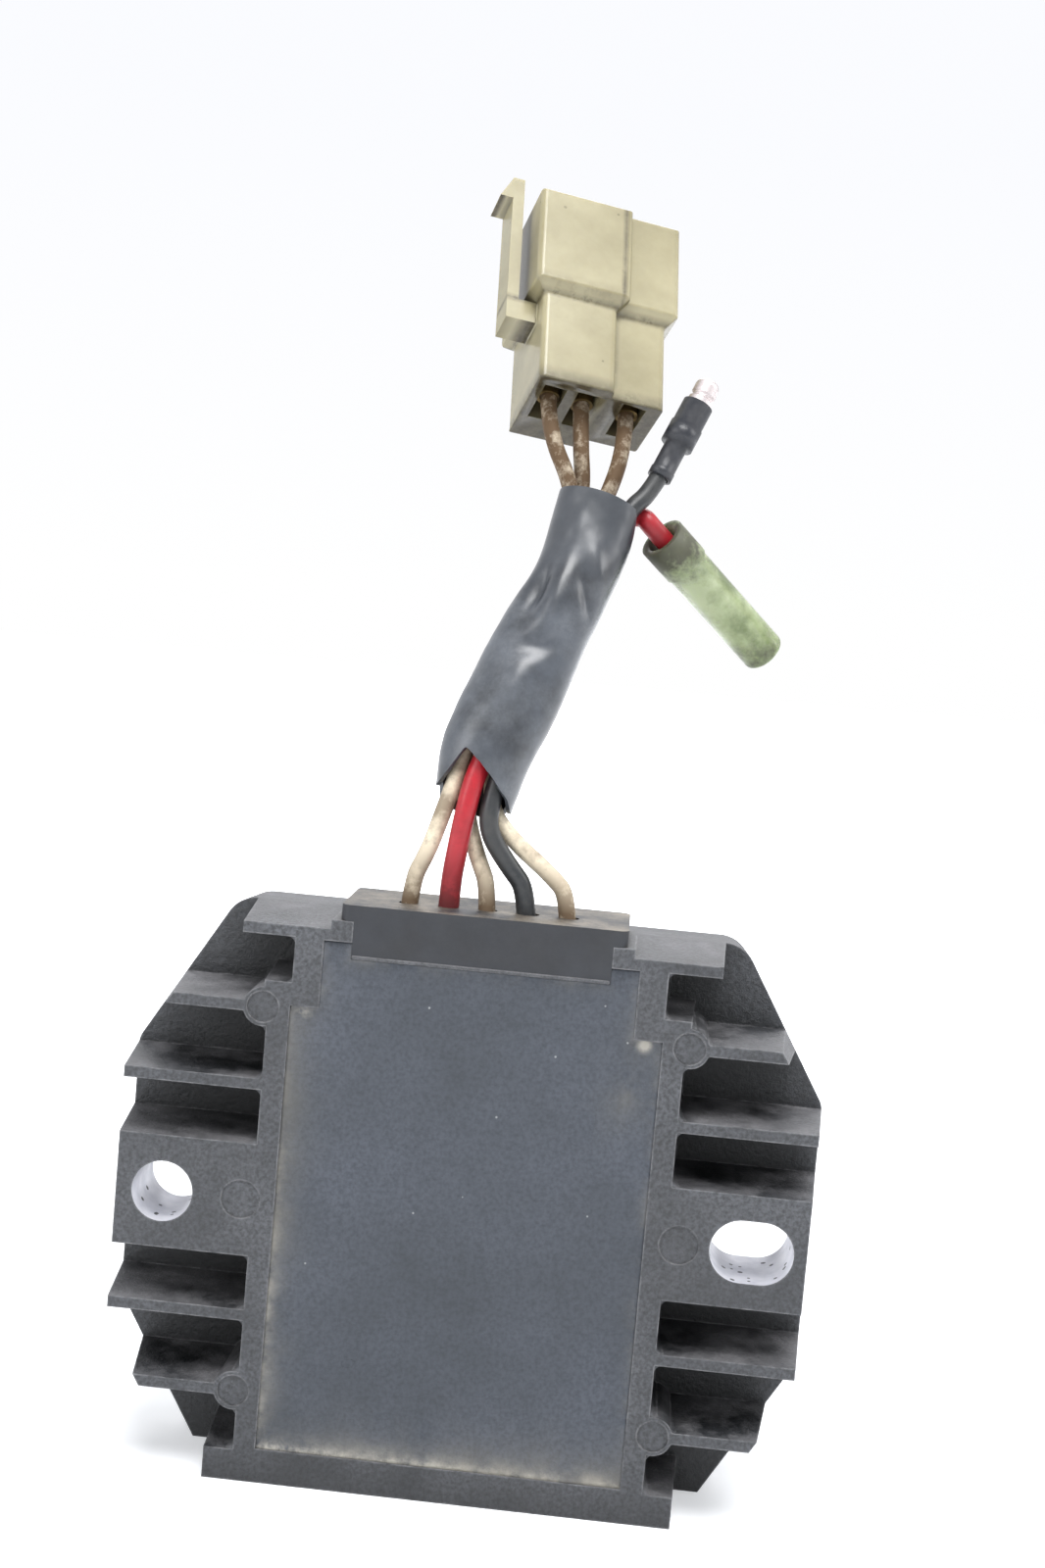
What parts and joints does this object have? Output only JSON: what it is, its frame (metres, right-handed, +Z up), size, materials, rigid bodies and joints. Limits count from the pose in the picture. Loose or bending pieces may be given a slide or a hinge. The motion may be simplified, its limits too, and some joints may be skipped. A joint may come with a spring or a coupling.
{
  "type": "voltage regulator rectifier",
  "caption": "Finned die-cast regulator rectifier for a small engine, potted on one face, with two mounting ears and a short stiff harness to a flat connector and bullet terminals.",
  "frame": {"origin": "middle of the housing's flat foot", "axes": "+Z up, towards the leads; +Y away from the potted face, towards the cooling fins; +X from the round hole to the slot"},
  "size_m": [0.0946, 0.0557, 0.1824],
  "materials": {
    "housing": "satin black paint over cast aluminium, worn at the edges",
    "resin": "dark potting resin, dull",
    "block": "moulded black plastic, dusty",
    "white_insulation": "white wire insulation, soiled",
    "red_insulation": "red wire insulation",
    "black_insulation": "black wire insulation",
    "board": "glass fibre board",
    "chip": "moulded black package",
    "silicon": "moulded rectifier cell",
    "tinned_copper": "tinned copper",
    "capacitor": "aluminium can",
    "zener_glass": "glass diode body",
    "ceramic": "ceramic chip",
    "sleeve": "soft black tube, wrinkled and shiny",
    "nylon": "yellowed natural nylon",
    "brass": "brass",
    "boot": "soft black boot",
    "tinned_brass": "tinned brass",
    "clear_sleeve": "soft clear sleeve gone green"
  },
  "bodies": {
    "root": {"housing": "housing", "resin_fill": "resin", "lead_block": "block", "white_lead_1": "white_insulation", "red_lead": "red_insulation", "white_lead_2": "white_insulation", "black_lead": "black_insulation", "white_lead_3": "white_insulation", "base_board": "board", "thyristor_1": "silicon", "thyristor_2": "silicon", "thyristor_3": "silicon", "diode_1": "silicon", "diode_2": "silicon", "diode_3": "silicon", "control_board": "board", "control_chip": "chip", "board_pins": "tinned_copper", "capacitor": "capacitor", "zener_diode": "zener_glass", "chip_resistors": "ceramic", "lead_terminal_1": "tinned_copper", "lead_terminal_2": "tinned_copper", "lead_terminal_3": "tinned_copper", "lead_terminal_4": "tinned_copper", "lead_terminal_5": "tinned_copper", "harness_sleeve": "sleeve", "connector_housing": "nylon", "tab_terminal_1": "brass", "tab_terminal_2": "brass", "tab_terminal_3": "brass", "bullet_boot": "boot", "male_bullet": "tinned_brass", "bullet_sleeve": "clear_sleeve", "female_bullet": "tinned_brass"}
  },
  "joints": []
}
